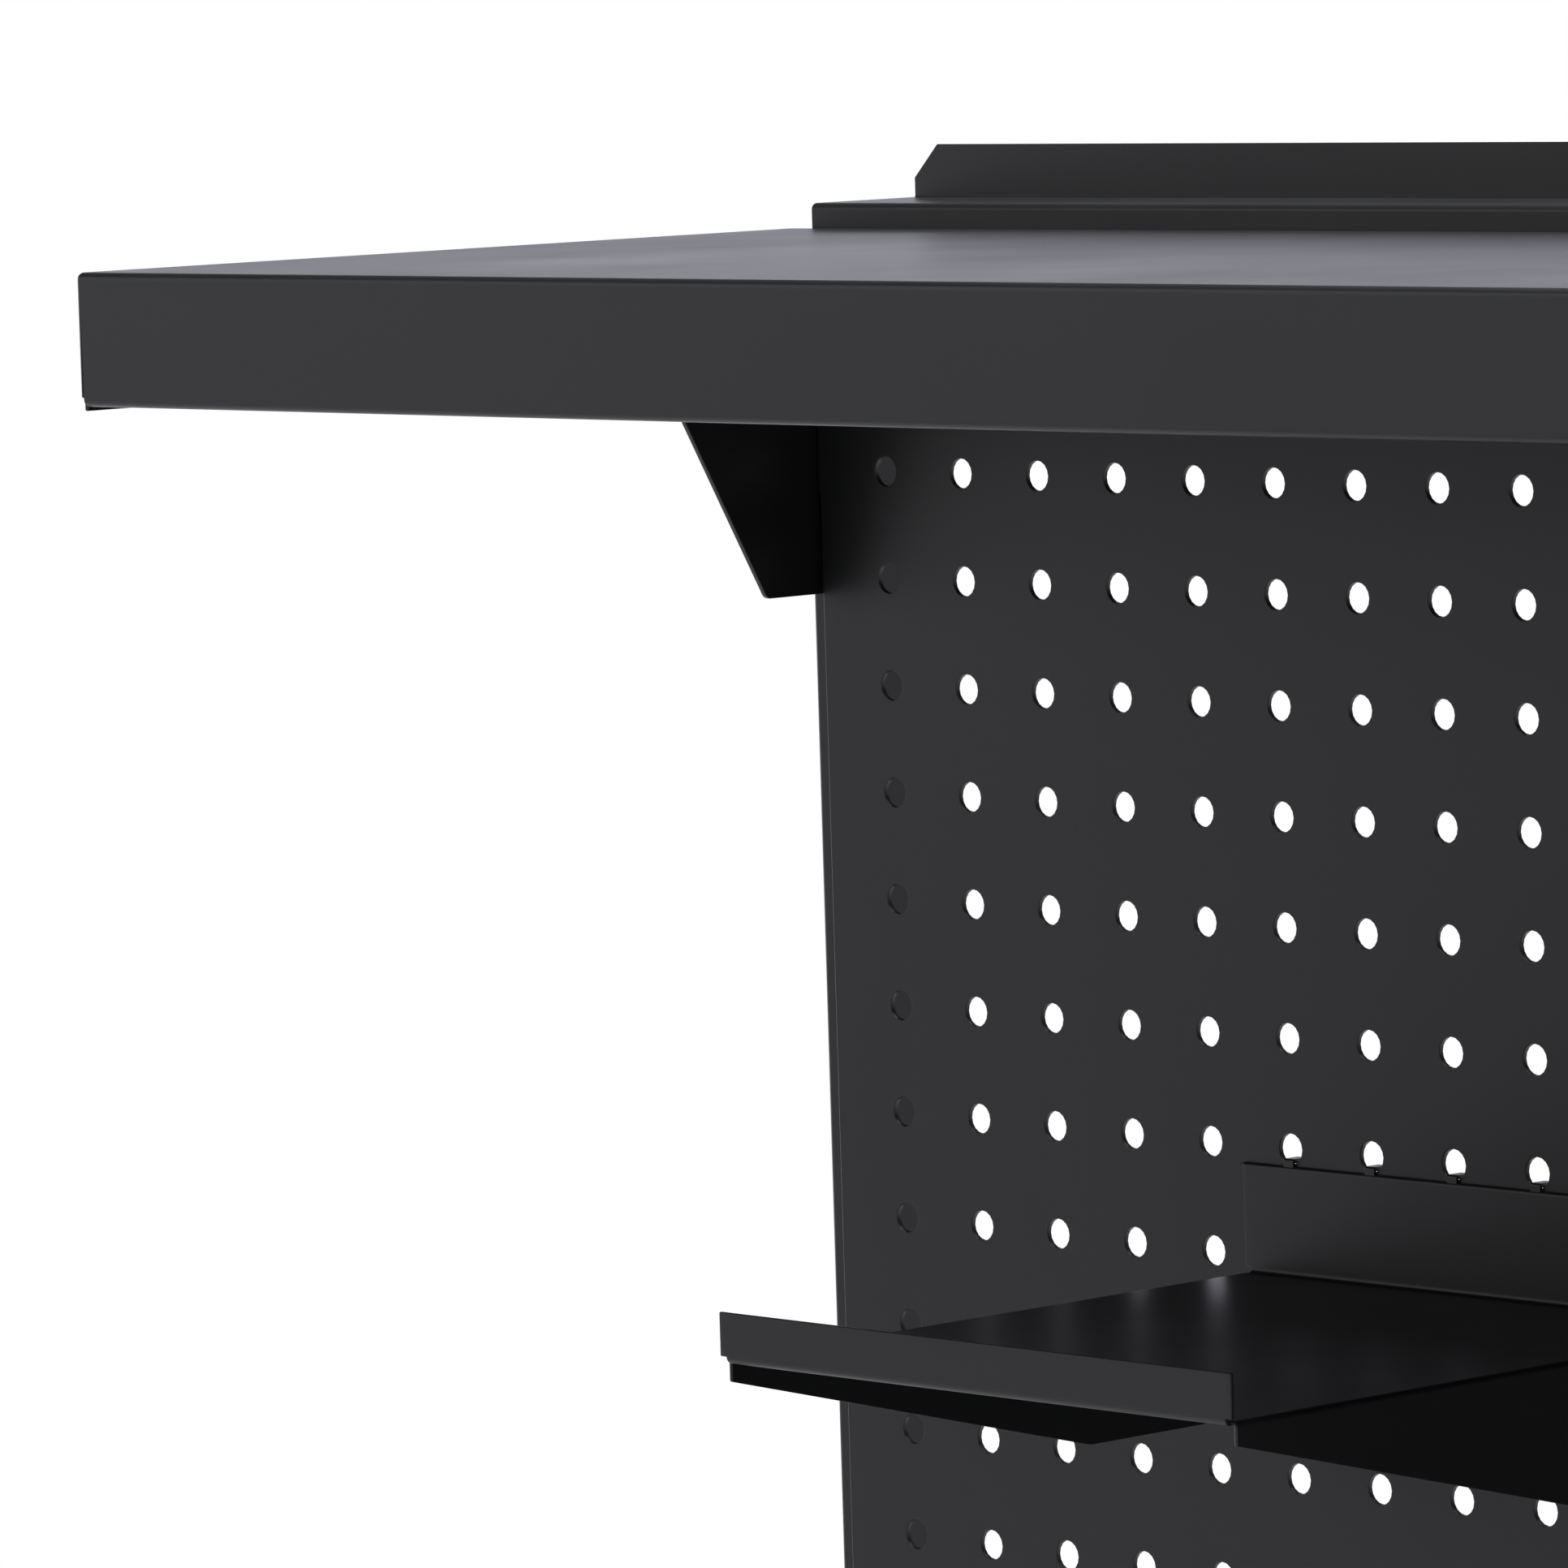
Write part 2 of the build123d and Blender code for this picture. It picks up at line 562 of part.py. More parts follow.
# ---- fasteners -----------------------------------------------------------------------
def pan_screws(places, plane_y, name):
    """Pan-head self-tapping screws at (x, z) places, heads on the front of plane_y."""
    with BuildPart() as screws:
        with BuildSketch(Plane.XZ.offset(-plane_y)):
            with Locations(*places):
                Circle(SCREW_HEAD_R)
        extrude(amount=SCREW_HEAD)
        rims = screws.edges().filter_by(GeomType.CIRCLE).group_by(Axis.Y)[0]
        fillet(rims, radius=SCREW_DOME)
        with BuildSketch(Plane.XZ.offset(-plane_y)):
            with Locations(*places):
                Circle(SCREW_R)
        extrude(amount=-SCREW_LENGTH)
        with BuildSketch(Plane.XZ.offset(-plane_y + SCREW_HEAD)):
            with Locations(*places):
                Rectangle(RECESS_L, RECESS_W)
                Rectangle(RECESS_W, RECESS_L)
        extrude(amount=-RECESS_D, mode=Mode.SUBTRACT)
    save(screws.part, name)


both_sides = (-UPRIGHT_X, UPRIGHT_X)
pan_screws([(x, z) for x in both_sides for z in PANEL_SCREW_HEIGHTS], BOARD_Y, "panel_screws")
pan_screws([(x, RAIL_SCREW_Z) for x in both_sides], BOARD_Y, "rail_screws")
pan_screws([(x, z) for x in both_sides for z in KICK_SCREW_HEIGHTS],
           LEG_FRONT - SHEET, "kick_plate_screws")

bolt_places = [(x, z) for x in both_sides for z in BOLT_HEIGHTS]
with BuildPart() as frame_bolts:
    with BuildSketch(Plane.XZ.offset(-BRACE_FACE)):
        with Locations(*bolt_places):
            RegularPolygon(M8_AF / 2, 6, major_radius=False)
    extrude(amount=-M8_HEAD)
    with BuildSketch(Plane.XZ.offset(-BRACE_FACE)):
        with Locations(*bolt_places):
            Circle(M8_R)
    extrude(amount=BOLT_LENGTH)
save(frame_bolts.part, "frame_bolts")

leg_plate_face = UPRIGHT_FRONT - LEG_PLATE
with BuildPart() as leg_weld_nuts:
    with BuildSketch(Plane.XZ.offset(-leg_plate_face)):
        with Locations(*bolt_places):
            RegularPolygon(M8_AF / 2, 6, major_radius=False)
            Circle(M8_R + STUD_CLEAR, mode=Mode.SUBTRACT)
    extrude(amount=M8_NUT)
save(leg_weld_nuts.part, "leg_weld_nuts")

# ---- levelling feet ------------------------------------------------------------------
foot_places = list(FOOT_PLACES.values())
front_places = [place for place in foot_places if place[1] == FRONT_FOOT_Y]
back_places = [place for place in foot_places if place[1] != FRONT_FOOT_Y]


def foot_pad(place):
    """Round plastic pad with a socket for the stud."""
    with BuildPart() as pad:
        with BuildSketch(Plane.XY):
            with Locations(place):
                Circle(PAD_R)
        extrude(amount=PAD_T)
        fillet(pad.edges().filter_by(GeomType.CIRCLE).group_by(Axis.Z)[-1], radius=PAD_EDGE)
        with BuildSketch(Plane.XY.offset(PAD_FLOOR)):
            with Locations(place):
                Circle(M8_R)
        extrude(amount=PAD_T, mode=Mode.SUBTRACT)
    return pad.part


def foot_stud(place):
    """Threaded stud with a hexagon that sits on the pad."""
    with BuildPart() as stud:
        with BuildSketch(Plane.XY.offset(PAD_FLOOR)):
            with Locations(place):
                Circle(M8_R)
        extrude(amount=STUD_TOP - PAD_FLOOR)
        chamfer(stud.edges().filter_by(GeomType.CIRCLE).group_by(Axis.Z)[-1], length=STUD_TIP)
        with BuildSketch(Plane.XY.offset(PAD_T)):
            with Locations(place):
                RegularPolygon(M8_AF / 2, 6, major_radius=False)
        extrude(amount=FOOT_HEX)
    return stud.part


for foot_name, place in FOOT_PLACES.items():
    save(foot_pad(place), f"{foot_name}_pad")
    save(foot_stud(place), f"{foot_name}_stud")

with BuildPart() as foot_lock_nuts:
    with BuildSketch(Plane.XY.offset(FRAME_BOTTOM)):
        with Locations(*foot_places):
            RegularPolygon(M8_AF / 2, 6, major_radius=False)
            Circle(M8_R + STUD_CLEAR, mode=Mode.SUBTRACT)
    extrude(amount=-LOCK_NUT)
save(foot_lock_nuts.part, "foot_lock_nuts")

with BuildPart() as leg_bushes:
    with BuildSketch(Plane.XY.offset(FRAME_BOTTOM + HEAVY_SHEET)):
        with Locations(*front_places):
            Circle(M8_AF / 2)
            Circle(M8_R + STUD_CLEAR, mode=Mode.SUBTRACT)
    extrude(amount=BUSH_H)
save(leg_bushes.part, "leg_bushes")

with BuildPart() as upright_foot_plugs:
    with BuildSketch(Plane.XY.offset(FRAME_BOTTOM)):
        with Locations(*back_places):
            Rectangle(UPRIGHT_W - 2 * UPRIGHT_WALL, UPRIGHT_D - 2 * UPRIGHT_WALL)
            Circle(M8_R + STUD_CLEAR, mode=Mode.SUBTRACT)
    extrude(amount=BUSH_H)
save(upright_foot_plugs.part, "upright_foot_plugs")
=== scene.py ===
import json
import math

import bmesh
import bpy
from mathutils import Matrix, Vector


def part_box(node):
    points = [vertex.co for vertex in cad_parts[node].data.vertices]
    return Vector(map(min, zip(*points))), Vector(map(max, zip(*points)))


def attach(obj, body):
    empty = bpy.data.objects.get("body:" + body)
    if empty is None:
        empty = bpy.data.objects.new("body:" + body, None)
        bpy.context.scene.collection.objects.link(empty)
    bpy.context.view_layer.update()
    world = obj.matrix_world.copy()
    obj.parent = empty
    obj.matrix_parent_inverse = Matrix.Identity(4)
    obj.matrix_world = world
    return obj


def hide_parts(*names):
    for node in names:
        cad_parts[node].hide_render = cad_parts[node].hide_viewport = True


# The finish of a low gondola shelving unit: black powder-coated sheet steel, zinc-plated
# fasteners and black plastic plugs. Metres, in the CAD model's frame: X runs along the
# width, Y from front to back, and Z up from the floor.

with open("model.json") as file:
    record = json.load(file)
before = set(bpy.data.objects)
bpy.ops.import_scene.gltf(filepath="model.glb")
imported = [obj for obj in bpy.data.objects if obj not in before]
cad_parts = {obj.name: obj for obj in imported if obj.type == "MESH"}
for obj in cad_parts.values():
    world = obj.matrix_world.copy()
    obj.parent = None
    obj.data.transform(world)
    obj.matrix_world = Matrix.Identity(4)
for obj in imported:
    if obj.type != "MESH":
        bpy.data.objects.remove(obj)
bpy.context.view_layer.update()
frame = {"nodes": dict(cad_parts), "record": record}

# ---- sheet steel ---------------------------------------------------------------------
SHEET = 0.0012
BEND = 0.0016                 # outside radius of a fold
EDGE = 0.0003                 # the coating rounds every cut edge
NEAR = 0.00001                # points closer than this are taken as one
HAIR = 0.0001                 # clearance between sheets that lie on each other
ARC_STEPS = 6                 # straight steps in a quarter turn
SMOOTH_ANGLE = math.radians(38)
CUT_ANGLE = math.radians(60)  # a sharper turn than this is a cut edge

# ---- pegboard ------------------------------------------------------------------------
PEG_PITCH = 0.0254
PEG_RADIUS = 0.00355
COLUMNS = 46
ROWS = 24
HOLE_SIDES = 16
HOLE_RIM = 0.0003
PANEL_EDGE = 0.0005
board_low, board_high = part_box("peg_panel")

# ---- top rail ------------------------------------------------------------------------
RAIL_CHAMFER = 0.008
rail_low, rail_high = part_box("top_rail")
UPSTAND = 0.0126

# ---- shelf pans ----------------------------------------------------------------------
LIP = 0.030
LIP_RETURN = 0.012
SIDE_FLANGE = 0.031
RELIEF = 0.002
REAR_FLANGE = 0.020
REAR_FLANGE_STOP = 0.0227     # pan's end to the end of its rear flange

# ---- shelf brackets ------------------------------------------------------------------
BRACKET_HEEL = 0.0169
BRACKET_KNEE = 0.0617         # height of the sloping edge
BRACKET_STEEPNESS = 1.75
BRACKET_TIP = 0.0717          # height of the tip's lower corner above the bottom edge
HOOK_NECK = 0.008
HOOK_DROP = 0.007
HOOK_LEG = 0.0026
HOOK_HEIGHTS = (0.0077, 0.0577)
HOOK_PLAY = 0.0002            # between a hook and the upright's wall
UPRIGHT_WALL = 0.0015
BRACKET_RADII = (0, 0.002, 0.004, 0.004, 0.002, 0.0025)    # from the rear bottom corner on

# ---- hang-on tray --------------------------------------------------------------------
TRAY_SHEET = 0.001
TRAY_LIP = 0.0104
TRAY_FLANGE = 0.0253
TRAY_DROP = 0.0292            # row of holes down to the tray's surface
TRAY_INSET = 0.0005
TRAY_FRONT_BEND = 0.0016
TRAY_BACK_BEND = 0.002
TRAY_SIDE_BEND = 0.0004
GUSSET_START = 0.0021
GUSSET_FRONT = 0.0052
GUSSET_DEPTH = 0.0333
GUSSET_LEVEL = 0.054
TRAY_HOOKS = 6
TRAY_HOOK_W = 0.003
TRAY_HOOK_TOP = 0.0022        # below the hole's centre
TRAY_HOOK_H = 0.0062
TRAY_HOOK_BEND = 0.0007
TRAY_HOOK_EDGE = 0.0001
TRAY_FLANGE_NOSE = 0.0009     # radius of the flange's top edge

# ---- studio --------------------------------------------------------------------------
# The surround's strength is the product of two: CEILING over a direction's height, and
# SIDE_GLOW over its nearness to BRIGHT_SIDE. Each is start, end, strength there and there.
CEILING = (0.04, 0.40, 1.0, 0.04)
BRIGHT_SIDE = (-0.73, 0.68, 0.0)
SIDE_GLOW = (0.25, 0.80, 0.64, 2.0)
PLAIN_TINT = (1.0, 1.0, 1.05)
GLOW_TINT = (1.0, 1.0, 1.16)
FLOOR_RADIUS = 2.6
FLOOR_FADE = (1.2, 2.5)       # distances from the middle where it starts and ends
# A soft box's place, the point it faces, its size and its power in watts.
OVERHEAD = ((0.0, 0.0, 2.6), (0.0, 0.0, 0.0), 1.6, 95.0)
FRONT_LEFT = ((-1.95, -1.90, 1.50), (0.0, 0.0, 0.45), 1.1, 6.0)

# ---- camera --------------------------------------------------------------------------
VIEWPOINT = (1.1375, -1.5063, 0.8236)
VIEW_ANGLES = (84.907, 1.748, 46.684)
FOCAL_LENGTH = 230.3          # in millimetres, like the sensor
SENSOR_WIDTH = 36.0


# ---- materials -----------------------------------------------------------------------
def new_material(name):
    """An empty node material with its shader, and the object's own coordinates."""
    material = bpy.data.materials.new(name)
    material.use_nodes = True
    nodes = material.node_tree.nodes
    coordinates = nodes.new("ShaderNodeTexCoord")
    return material, nodes, material.node_tree.links, nodes["Principled BSDF"], coordinates


def noise(nodes, links, coordinates, scale, detail, roughness=0.5):
    """Noise over the object's own coordinates; scale is features per metre."""
    texture = nodes.new("ShaderNodeTexNoise")
    texture.inputs["Scale"].default_value = scale
    texture.inputs["Detail"].default_value = detail
    texture.inputs["Roughness"].default_value = roughness
    links.new(coordinates.outputs["Object"], texture.inputs["Vector"])
    return texture.outputs["Fac"]


def graded(nodes, links, source, start, end, low, high, easing="SMOOTHSTEP"):
    """Go from low to high while the source goes from start to end."""
    mapped = nodes.new("ShaderNodeMapRange")
    mapped.interpolation_type = easing
    mapped.inputs["From Min"].default_value = start
    mapped.inputs["From Max"].default_value = end
    mapped.inputs["To Min"].default_value = low
    mapped.inputs["To Max"].default_value = high
    links.new(source, mapped.inputs["Value"])
    return mapped.outputs["Result"]


def spread(nodes, links, source, low, high):
    """Map a noise's middle range onto low..high."""
    return graded(nodes, links, source, 0.3, 0.7, low, high, easing="LINEAR")


def blend(nodes, links, factor, first, second):
    """Mix two colours by a factor."""
    mix = nodes.new("ShaderNodeMix")
    mix.data_type = "RGBA"
    mix.inputs["A"].default_value = (*first, 1.0)
    mix.inputs["B"].default_value = (*second, 1.0)
    links.new(factor, mix.inputs["Factor"])
    return mix.outputs["Result"]


def relief(nodes, links, height, depth, strength, normal=None):
    """A bump of real depth, in metres."""
    bump = nodes.new("ShaderNodeBump")
    bump.inputs["Distance"].default_value = depth
    bump.inputs["Strength"].default_value = strength
    links.new(height, bump.inputs["Height"])
    if normal is not None:
        links.new(normal, bump.inputs["Normal"])
    return bump.outputs["Normal"]


def powder_coat():
    """Satin black powder coat with a fine orange peel."""
    material, nodes, links, shader, coordinates = new_material("black_powder_coat")
    cloud = noise(nodes, links, coordinates, scale=18, detail=3)
    grain = noise(nodes, links, coordinates, scale=2200, detail=2)
    peel = noise(nodes, links, coordinates, scale=480, detail=2)
    tone = blend(nodes, links, spread(nodes, links, cloud, 0, 1),
                 (0.0060, 0.0063, 0.0070), (0.0080, 0.0083, 0.0092))
    links.new(tone, shader.inputs["Base Color"])
    links.new(spread(nodes, links, cloud, low=0.39, high=0.44), shader.inputs["Roughness"])
    fine = relief(nodes, links, grain, depth=0.00001, strength=0.30)
    coarse = relief(nodes, links, peel, depth=0.00002, strength=0.30, normal=fine)
    links.new(coarse, shader.inputs["Normal"])
    shader.inputs["Specular IOR Level"].default_value = 0.42
    return material


def zinc_plate():
    """Bright zinc plating, faintly clouded."""
    material, nodes, links, shader, coordinates = new_material("zinc_plate")
    cloud = noise(nodes, links, coordinates, scale=260, detail=3)
    grain = noise(nodes, links, coordinates, scale=2600, detail=2)
    tone = blend(nodes, links, spread(nodes, links, cloud, 0, 1),
                 (0.52, 0.53, 0.55), (0.66, 0.66, 0.66))
    links.new(tone, shader.inputs["Base Color"])
    links.new(spread(nodes, links, cloud, low=0.28, high=0.42), shader.inputs["Roughness"])
    bump = relief(nodes, links, grain, depth=0.00001, strength=0.2)
    links.new(bump, shader.inputs["Normal"])
    shader.inputs["Metallic"].default_value = 1.0
    return material


def moulded_plastic():
    """Black polyethylene with a spark-eroded grain."""
    material, nodes, links, shader, coordinates = new_material("black_plastic")
    cloud = noise(nodes, links, coordinates, scale=90, detail=2)
    grain = noise(nodes, links, coordinates, scale=1500, detail=3, roughness=0.65)
    tone = blend(nodes, links, spread(nodes, links, cloud, 0, 1),
                 (0.010, 0.010, 0.011), (0.016, 0.016, 0.017))
    links.new(tone, shader.inputs["Base Color"])
    links.new(spread(nodes, links, grain, low=0.50, high=0.64), shader.inputs["Roughness"])
    bump = relief(nodes, links, grain, depth=0.00004, strength=0.4)
    links.new(bump, shader.inputs["Normal"])
    return material


COAT = powder_coat()
ZINC = zinc_plate()
PLASTIC = moulded_plastic()
BY_SLOT = {"black_powder_coat": COAT, "zinc_plate": ZINC, "black_plastic": PLASTIC}
REMADE = ("peg_panel", "top_rail", "top_shelf_deck", "base_deck", "left_shelf_bracket",
          "right_shelf_bracket", "hang_tray")    # CAD nodes that pieces below stand for


# ---- outlines in a plane -------------------------------------------------------------
def rounded(points, radii):
    """The path with each inner corner turned into an arc; radii has one for each corner."""
    path = [Vector(points[0])]
    for before, corner, after, radius in zip(points, points[1:], points[2:], radii):
        corner = Vector(corner)
        back = (Vector(before) - corner).normalized()
        ahead = (Vector(after) - corner).normalized()
        half = back.angle(ahead) / 2
        centre = corner + (back + ahead).normalized() * (radius / math.sin(half))
        start = corner + back * (radius / math.tan(half)) - centre
        end = corner + ahead * (radius / math.tan(half)) - centre
        turn = start.angle_signed(end)
        steps = max(2, round(ARC_STEPS * abs(turn) / (math.pi / 2)))
        for step in range(steps + 1):
            angle = math.atan2(start.y, start.x) - turn * step / steps
            path.append(centre + radius * Vector((math.cos(angle), math.sin(angle))))
    path.append(Vector(points[-1]))
    return path


def closed_rounded(points, radii):
    """A closed outline with every corner turned into an arc, or kept where its radius is 0."""
    outline = []
    for i, radius in enumerate(radii):
        corner = points[i]
        if radius == 0:
            outline.append(Vector(corner))
            continue
        arc = rounded([points[i - 1], corner, points[(i + 1) % len(points)]], [radius])
        outline.extend(arc[1:-1])
    return outline


# ---- meshes --------------------------------------------------------------------------
def soften_cuts(bm, width):
    """Round every cut edge of a closed mesh."""
    bmesh.ops.recalc_face_normals(bm, faces=bm.faces)
    cuts = [e for e in bm.edges if len(e.link_faces) == 2 and e.calc_face_angle() > CUT_ANGLE]
    bmesh.ops.bevel(bm, geom=cuts, offset=width, segments=2, profile=0.5, affect="EDGES",
                    clamp_overlap=False)


def round_cuts(sheet):
    """Round every cut edge of an object as it is shown."""
    cut = sheet.modifiers.new("coated_edges", "BEVEL")
    cut.width = EDGE
    cut.segments = 2
    cut.limit_method = "ANGLE"
    cut.angle_limit = CUT_ANGLE
    cut.use_clamp_overlap = False


def piece(bm, name, body, nodes, thickness=0.0):
    """Make the finished mesh an object that rides on a body and stands for CAD nodes.

    With a thickness the mesh is a sheet's modelled face, and the sheet grows away from its
    normals.
    """
    mesh = bpy.data.meshes.new(name)
    bm.normal_update()
    bm.to_mesh(mesh)
    bm.free()
    mesh.shade_smooth()
    mesh.set_sharp_from_angle(angle=SMOOTH_ANGLE)
    mesh.materials.append(COAT)
    made = bpy.data.objects.new(name, mesh)
    bpy.context.scene.collection.objects.link(made)
    if thickness:
        solid = made.modifiers.new("sheet", "SOLIDIFY")
        solid.thickness = thickness
        solid.offset = -1
        solid.use_even_offset = True
        if mesh.vertices[0].groups:
            solid.vertex_group = made.vertex_groups.new(name="thickness").name
        round_cuts(made)
    flat = made.modifiers.new("flat_faces", "WEIGHTED_NORMAL")
    flat.keep_sharp = True
    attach(made, body)
    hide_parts(*nodes)


def prism(bm, outline, place):
    """A closed solid: the outline at both ends of place, which takes (a, b, end)."""
    rings = [[bm.verts.new(place(a, b, end)) for a, b in outline] for end in (0, 1)]
    for ring in rings:
        bm.faces.new(ring)
    for i in range(len(outline)):
        bm.faces.new((rings[0][i - 1], rings[0][i], rings[1][i], rings[1][i - 1]))


def face(bm, known, points):
    """A face through the points, which shares its corners with the faces made before it."""
    corners = []
    for point in points:
        key = tuple(round(c, 7) for c in point)
        if key not in known:
            known[key] = bm.verts.new(point)
        if known[key] not in corners:
            corners.append(known[key])
    if len(corners) > 2:
        bm.faces.new(corners)


def strip(bm, known, path, low_x, high_x):
    """A band of faces along a YZ path, from low_x to high_x.

    It faces the front where the path goes up, and up where the path goes back.
    """
    for (y0, z0), (y1, z1) in zip(path, path[1:]):
        face(bm, known, [(low_x, y0, z0), (high_x, y0, z0), (high_x, y1, z1), (low_x, y1, z1)])


# ---- pegboard ------------------------------------------------------------------------
def peg_cell(bm, known, x, z):
    """One pitch of the pegboard: its front, the wall of its hole and its back."""
    turns = [2 * math.pi * i / HOLE_SIDES for i in range(HOLE_SIDES)]
    front, back = board_low.y, board_high.y
    square = []
    for turn in turns:
        reach = PEG_PITCH / 2 / max(abs(math.cos(turn)), abs(math.sin(turn)))
        square.append((x + reach * math.cos(turn), z + reach * math.sin(turn)))

    def circle(radius, y):
        return [(x + radius * math.cos(t), y, z + radius * math.sin(t)) for t in turns]

    rings = [
        [(a, front, b) for a, b in square],
        circle(PEG_RADIUS + HOLE_RIM, front),
        circle(PEG_RADIUS + HOLE_RIM * 0.3, front + HOLE_RIM * 0.3),
        circle(PEG_RADIUS, front + HOLE_RIM),
        circle(PEG_RADIUS, back),
        [(a, back, b) for a, b in square],
    ]
    for outer, inner in zip(rings, rings[1:]):
        for i in range(HOLE_SIDES):
            face(bm, known, [outer[i - 1], outer[i], inner[i], inner[i - 1]])


def peg_panel():
    """The perforated back, with blank margins outside the first and last columns."""
    bm = bmesh.new()
    known = {}
    low_x = -(COLUMNS - 1) / 2 * PEG_PITCH
    low_z = board_low.z + PEG_PITCH / 2
    for column in range(COLUMNS):
        for row in range(ROWS):
            peg_cell(bm, known, low_x + column * PEG_PITCH, low_z + row * PEG_PITCH)

    # the margins have the same corners along the cells' ends as the cells
    offsets = [math.tan(math.pi / 8 * i) / 2 * PEG_PITCH for i in range(-2, 3)]
    heights = sorted({round(low_z + row * PEG_PITCH + offset, 7)
                      for row in range(ROWS) for offset in offsets})
    for side, cells_end in ((board_low.x, low_x - PEG_PITCH / 2),
                            (board_high.x, -low_x + PEG_PITCH / 2)):
        for y in (board_low.y, board_high.y):
            for z0, z1 in zip(heights, heights[1:]):
                face(bm, known, [(side, y, z0), (cells_end, y, z0),
                                 (cells_end, y, z1), (side, y, z1)])
    bmesh.ops.remove_doubles(bm, verts=bm.verts, dist=1e-6)
    rim = [e for e in bm.edges if e.is_boundary]
    bmesh.ops.bridge_loops(bm, edges=rim)
    bmesh.ops.recalc_face_normals(bm, faces=bm.faces)
    long_cuts = [e for e in bm.edges if e.calc_face_angle(0) > CUT_ANGLE
                 and all(outside(v.co) for v in e.verts)]
    bmesh.ops.bevel(bm, geom=long_cuts, offset=PANEL_EDGE, segments=3, profile=0.5,
                    affect="EDGES", clamp_overlap=False)
    piece(bm, "peg_panel_sheet", "frame", ["peg_panel"])


def outside(point):
    """True on the pegboard's own edges."""
    return (min(point.x - board_low.x, board_high.x - point.x) < NEAR
            or min(point.z - board_low.z, board_high.z - point.z) < NEAR)


# ---- top rail ------------------------------------------------------------------------
def top_rail():
    """A rail folded back over the pegboard, with an upstand whose ends are chamfered."""
    bm = bmesh.new()
    known = {}
    half = rail_high.x
    top = rail_high.z - UPSTAND
    wall_y = rail_high.y - SHEET
    shoulder = rail_high.z - RAIL_CHAMFER
    path = rounded([(rail_low.y, rail_low.z), (rail_low.y, top), (wall_y, top),
                    (wall_y, shoulder)], [BEND, BEND - SHEET])
    stops = [-half, -half + RAIL_CHAMFER, half - RAIL_CHAMFER, half]
    for low_x, high_x in zip(stops, stops[1:]):
        strip(bm, known, path, low_x, high_x)
    strip(bm, known, [(wall_y, shoulder), (wall_y, rail_high.z)], stops[1], stops[2])
    for end, inner in ((stops[0], stops[1]), (stops[3], stops[2])):
        corners = [(end, wall_y, shoulder), (inner, wall_y, shoulder),
                   (inner, wall_y, rail_high.z)]
        face(bm, known, corners if end < inner else corners[::-1])
    piece(bm, "top_rail_sheet", "frame", ["top_rail"], SHEET)


# ---- shelf pans ----------------------------------------------------------------------
def shelf_pan(node, name, body):
    """A shelf folded from one sheet: rolled edges, a front lip with a return, side flanges."""
    low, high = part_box(node)
    half = high.x
    top = high.z
    front, rear = low.y, high.y
    flange_end = half - REAR_FLANGE_STOP
    depths = {"corner": LIP - RELIEF, "side": SIDE_FLANGE, "rear": REAR_FLANGE}
    quarter = [math.pi / 2 * i / ARC_STEPS for i in range(ARC_STEPS + 1)]

    # the walk round the pan: centre of the roll, outward direction, and the wall that
    # starts there
    walk = []

    def corner(x, y, start, wall_after):
        for i, angle in enumerate(quarter):
            wall = wall_after if i == ARC_STEPS else "corner"
            walk.append(((x, y), (math.cos(start + angle), math.sin(start + angle)), wall))

    corner(-half + BEND, front + BEND, math.pi, "lip")
    corner(half - BEND, front + BEND, -math.pi / 2, "side")
    corner(half - BEND, rear - BEND, 0.0, "open")
    walk.append(((flange_end, rear - BEND), (0.0, 1.0), "rear"))
    walk.append(((-flange_end, rear - BEND), (0.0, 1.0), "open"))
    corner(-half + BEND, rear - BEND, math.pi / 2, "side")

    roll = [(BEND * math.sin(a), BEND * math.cos(a) - BEND) for a in quarter]
    lip_y = [BEND - BEND * math.cos(a) for a in quarter]
    lip_z = [-LIP + BEND - BEND * math.sin(a) for a in quarter]

    def at(spot, out, z):
        (x, y), (dx, dy), _ = spot
        return (x + dx * out, y + dy * out, top + z)

    bm = bmesh.new()
    known = {}
    face(bm, known, [at(spot, 0, 0) for spot in walk])
    for spot, following in zip(walk, walk[1:] + walk[:1]):
        wall = spot[2]
        rear_corner = wall == "corner" and spot[0][1] > front + 2 * BEND
        profile = list(roll)
        if wall == "lip":
            profile += [(BEND - y, z) for y, z in zip(lip_y, lip_z)]
            profile.append((BEND - LIP_RETURN, -LIP))
        elif wall != "open" and not rear_corner:
            profile.append((BEND, -depths[wall]))
        for (out0, z0), (out1, z1) in zip(profile, profile[1:]):
            face(bm, known, [at(spot, out0, z0), at(spot, out1, z1),
                             at(following, out1, z1), at(following, out0, z0)])
    piece(bm, name, body, [node], SHEET)


